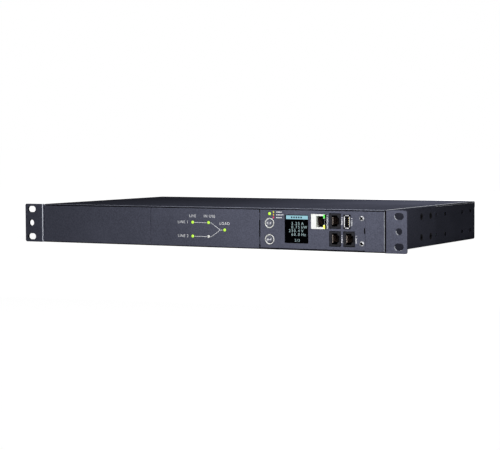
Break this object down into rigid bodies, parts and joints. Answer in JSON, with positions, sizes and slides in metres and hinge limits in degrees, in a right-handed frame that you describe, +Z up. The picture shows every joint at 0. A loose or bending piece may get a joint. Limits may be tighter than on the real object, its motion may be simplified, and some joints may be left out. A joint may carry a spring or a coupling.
{
  "type": "rack power distribution unit",
  "caption": "Slim rack-mount power distribution unit with slotted ears, status lamps, a control module with display, keys and jacks, and a rear row of inlets and outlets.",
  "frame": {"origin": "on the underside, below the middle of the whole unit's box", "axes": "+X along the front towards the control module's end, +Y from the front to the rear, +Z up"},
  "size_m": [0.4826, 0.264, 0.044],
  "materials": {
    "powder_coat": "matt",
    "black_screws": "satin",
    "nickel_screws": "polished",
    "zinc_steel": "satin",
    "circuit_board": "satin",
    "lit_lens": "gloss",
    "white_lens": "gloss",
    "amber_lens": "gloss",
    "display": "gloss",
    "grey_keys": "matt",
    "black_plastic": "satin",
    "white_plastic": "satin",
    "bright_shell": "satin",
    "gold_contacts": "polished",
    "brass_strip": "satin",
    "blue_coating": "satin"
  },
  "bodies": {
    "unit": {"chassis_tray": "powder_coat", "rear_panel": "powder_coat", "top_cover": "powder_coat", "cover_screws": "black_screws", "left_rack_ear": "powder_coat", "right_rack_ear": "powder_coat", "ear_screws": "black_screws", "blank_fascia": "powder_coat", "status_fascia": "powder_coat", "right_fascia": "powder_coat", "module_bracket": "zinc_steel", "lit_lenses": "lit_lens", "unlit_lens": "white_lens", "status_board": "circuit_board", "status_link": "black_plastic", "control_plate": "powder_coat", "module_screws": "nickel_screws", "control_board": "circuit_board", "board_posts": "zinc_steel", "display_window": "display", "display_panel": "black_plastic", "display_frame": "black_plastic", "button_bezels": "white_plastic", "key_switches": "black_plastic", "device_lens": "lit_lens", "ethernet_jack": "white_plastic", "ethernet_contacts": "gold_contacts", "jack_contacts": "gold_contacts", "usb_shell": "bright_shell", "usb_insulator": "black_plastic", "usb_contacts": "gold_contacts", "module_plug": "black_plastic", "main_board": "circuit_board", "main_standoffs": "zinc_steel", "board_screws": "zinc_steel", "backplane_socket": "black_plastic", "transfer_relays": "black_plastic", "current_transformer": "black_plastic", "supply_blocks": "black_plastic", "surge_discs": "blue_coating", "line_bus": "brass_strip", "neutral_bus": "brass_strip", "earth_bus": "brass_strip", "inlet_blades": "brass_strip", "inlet_screws": "black_screws", "earth_stud": "zinc_steel", "earth_nut": "zinc_steel", "serial_jack": "black_plastic", "link_jack": "black_plastic", "sensor_jack": "black_plastic", "link_light": "lit_lens", "activity_light": "amber_lens", "inlet_1": "black_plastic", "inlet_2": "black_plastic", "outlet_bank_1": "black_plastic", "outlet_bank_2": "black_plastic"},
    "select_key": {"select_button": "grey_keys"},
    "enter_key": {"enter_button": "grey_keys"}
  },
  "joints": [
    {"name": "select_press", "type": "slide", "parent": "unit", "child": "select_key", "axis": [0, 1, 0], "range_m": [0, 0.0005], "stiffness_N_per_m": 600},
    {"name": "enter_press", "type": "slide", "parent": "unit", "child": "enter_key", "axis": [0, 1, 0], "range_m": [0, 0.0005], "stiffness_N_per_m": 600}
  ]
}
